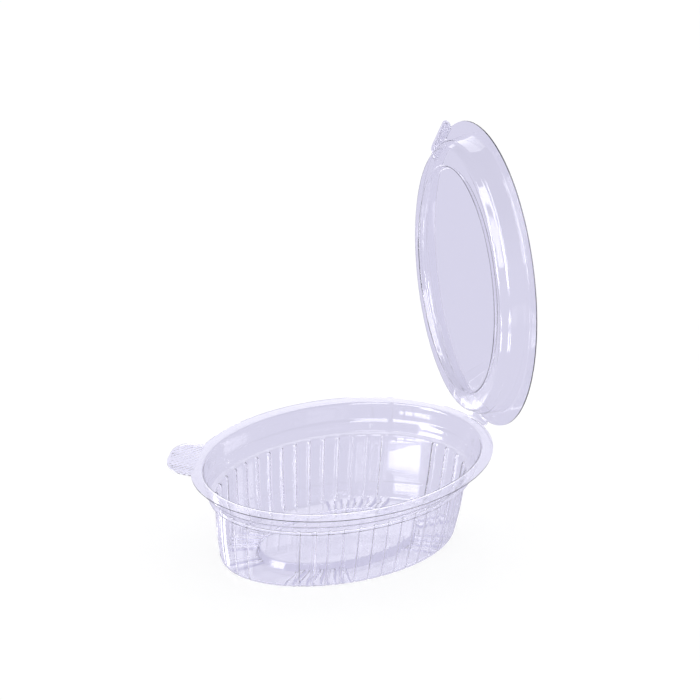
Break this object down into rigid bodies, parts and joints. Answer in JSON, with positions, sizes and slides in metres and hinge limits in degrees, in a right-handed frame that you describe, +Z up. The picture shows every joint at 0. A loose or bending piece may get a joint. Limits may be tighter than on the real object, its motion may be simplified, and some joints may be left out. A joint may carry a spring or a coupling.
{
  "type": "sauce cup",
  "caption": "Oval clear plastic sauce cup with fluted walls, a knurled finger tab and a hinged plug lid that stands open.",
  "frame": {"origin": "centre of the oval foot, on the surface that the cup stands on", "axes": "+X along the oval's long axis towards the hinge end, +Y across it towards the side of the finger tab, +Z up"},
  "size_m": [0.0972, 0.0733, 0.1194],
  "materials": {
    "clear_sheet": "clear gloss"
  },
  "bodies": {
    "cup": {"cup": "clear_sheet"},
    "lid": {"lid": "clear_sheet"}
  },
  "joints": [
    {"name": "lid_hinge", "type": "hinge", "parent": "cup", "child": "lid", "pos_m": [0.04528, 0.00614, 0.02995], "axis": [-0.1834, 0.9799, -0.0785], "range_deg": [-90.5, 89]}
  ]
}
